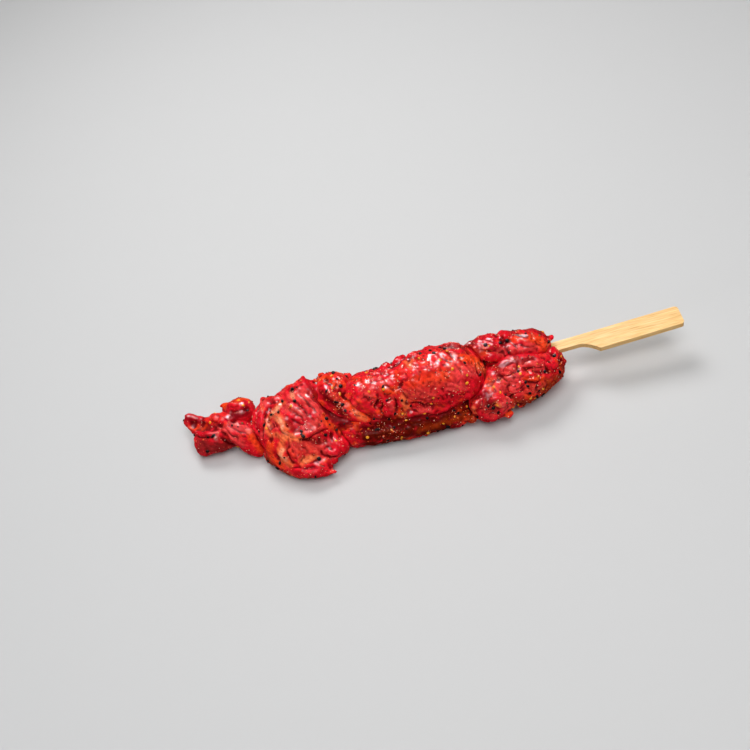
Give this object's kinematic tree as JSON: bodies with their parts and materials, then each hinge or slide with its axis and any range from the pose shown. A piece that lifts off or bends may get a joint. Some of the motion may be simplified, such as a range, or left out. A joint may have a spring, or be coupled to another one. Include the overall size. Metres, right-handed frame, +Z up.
{
  "type": "beef kebab skewer",
  "caption": "Raw marinated beef folded along a flat bamboo skewer, one long glossy roll between a ragged slab and creased end chunks, dotted with pepper and seeds.",
  "frame": {"origin": "bottom centre of the bounding box, on the surface that the kebab lies on", "axes": "+X along the skewer towards its grip, +Y across it towards the side the shoulder of the grip faces away from, +Z up"},
  "size_m": [0.2306, 0.047, 0.0322],
  "materials": {
    "bamboo": "bare bamboo, pale straw yellow with fine lengthwise grain, dull",
    "marinated_beef": "raw lean beef under a wet oily red marinade, deep crimson with orange patches and pale fat seams",
    "black_pepper": "coarsely crushed black peppercorn",
    "yellow_seed": "small seeds and cracked grains, golden",
    "chilli_flake": "thin dried pepper flakes and herb bits, oiled"
  },
  "bodies": {
    "root": {"bamboo_skewer": "bamboo", "tail_piece": "marinated_beef", "chip_piece": "marinated_beef", "slab_piece": "marinated_beef", "strip_piece": "marinated_beef", "long_piece": "marinated_beef", "end_back_piece": "marinated_beef", "end_front_piece": "marinated_beef"}
  },
  "joints": []
}
